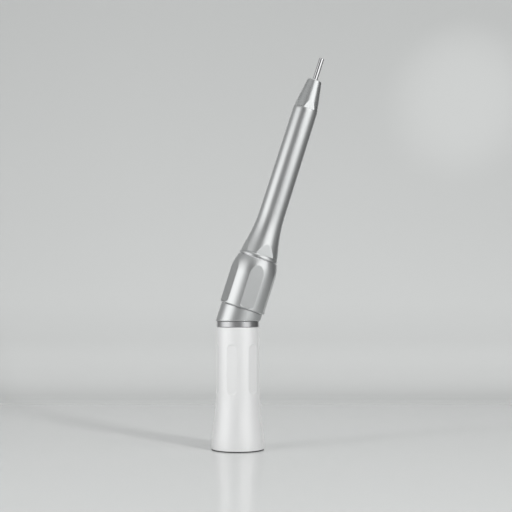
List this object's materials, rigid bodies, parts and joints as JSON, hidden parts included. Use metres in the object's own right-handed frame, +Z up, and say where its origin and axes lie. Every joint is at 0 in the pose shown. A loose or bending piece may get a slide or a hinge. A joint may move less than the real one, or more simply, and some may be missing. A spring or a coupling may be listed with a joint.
{
  "type": "surgical handpiece",
  "caption": "Slim angled surgical handpiece with flared grip sleeve, twist collar chuck, bent drive and removable plain tool shank.",
  "frame": {"origin": "centre of the rear face of the grip sleeve, on the grip's axis", "axes": "+Z up the grip away from the motor; the front half leans towards +X"},
  "size_m": [0.0519, 0.024, 0.1804],
  "materials": {
    "white_plastic": "fine satin moulding",
    "satin_steel": "bead-blasted satin",
    "machined_steel": "fine turned",
    "polished_ring": "mirror polished",
    "polished_steel": "polished",
    "bearing_steel": "ground",
    "seal_rubber": "matt moulded"
  },
  "bodies": {
    "housing": {"grip_sleeve": "white_plastic", "rim_seal": "seal_rubber", "coupling_body": "machined_steel", "catch_ring": "machined_steel", "grip_seal": "seal_rubber", "trim_ring": "polished_ring", "elbow": "satin_steel", "drive_bearing_outer_rings": "bearing_steel", "drive_bearing_balls": "bearing_steel", "drive_bearing_spacer": "machined_steel", "body_tube": "machined_steel", "bearing_carrier": "machined_steel", "collar_seals": "seal_rubber", "detent_ball": "bearing_steel", "detent_cartridge": "machined_steel", "bead_ring": "satin_steel", "front_sleeve": "satin_steel", "nose_cone": "satin_steel", "lip_seal": "seal_rubber", "spindle_bearing_outer_rings": "bearing_steel", "spindle_bearing_balls": "bearing_steel", "spindle_spacer_tube": "machined_steel"},
    "collar": {"lock_collar": "satin_steel"},
    "release": {"release_sleeve": "machined_steel", "cam_pins": "machined_steel"},
    "spindle": {"spindle": "machined_steel", "spindle_bevel_gear": "machined_steel", "spindle_bearing_inner_rings": "bearing_steel", "disc_springs": "machined_steel"},
    "collet": {"collet": "machined_steel", "drawbar": "machined_steel", "thrust_ring": "machined_steel", "cross_pin": "machined_steel"},
    "drive": {"drive_shaft": "machined_steel", "drive_dog": "machined_steel", "drive_bevel_gear": "machined_steel", "drive_bearing_inner_rings": "bearing_steel"},
    "tool": {"tool_shank": "polished_steel"}
  },
  "joints": [
    {"name": "collar_twist", "type": "hinge", "parent": "housing", "child": "collar", "pos_m": [0, 0, 0.0585], "axis": [0.304, 0, 0.9527], "range_deg": [0, 35]},
    {"name": "release_slide", "type": "slide", "parent": "housing", "child": "release", "axis": [0.304, 0, 0.9527], "range_m": [0, 0.001]},
    {"name": "spindle_spin", "type": "hinge", "parent": "housing", "child": "spindle", "pos_m": [0, 0, 0.0585], "axis": [0.304, 0, 0.9527], "continuous": true},
    {"name": "collet_slide", "type": "slide", "parent": "spindle", "child": "collet", "axis": [0.304, 0, 0.9527], "range_m": [0, 0.00085], "deforming": ["disc_springs"]},
    {"name": "tool_withdraw", "type": "slide", "parent": "collet", "child": "tool", "axis": [0.304, 0, 0.9527], "range_m": [0, 0.0345]},
    {"name": "drive_spin", "type": "hinge", "parent": "housing", "child": "drive", "pos_m": [0, 0, 0.0585], "axis": [0, 0, 1], "continuous": true}
  ],
  "couplings": [
    {"joint": "release_slide", "follows": "collar_twist", "m_per_rad": 0.001637},
    {"joint": "collet_slide", "follows": "collar_twist", "m_per_rad": 0.0013915},
    {"joint": "drive_spin", "follows": "spindle_spin", "ratio": 1}
  ]
}
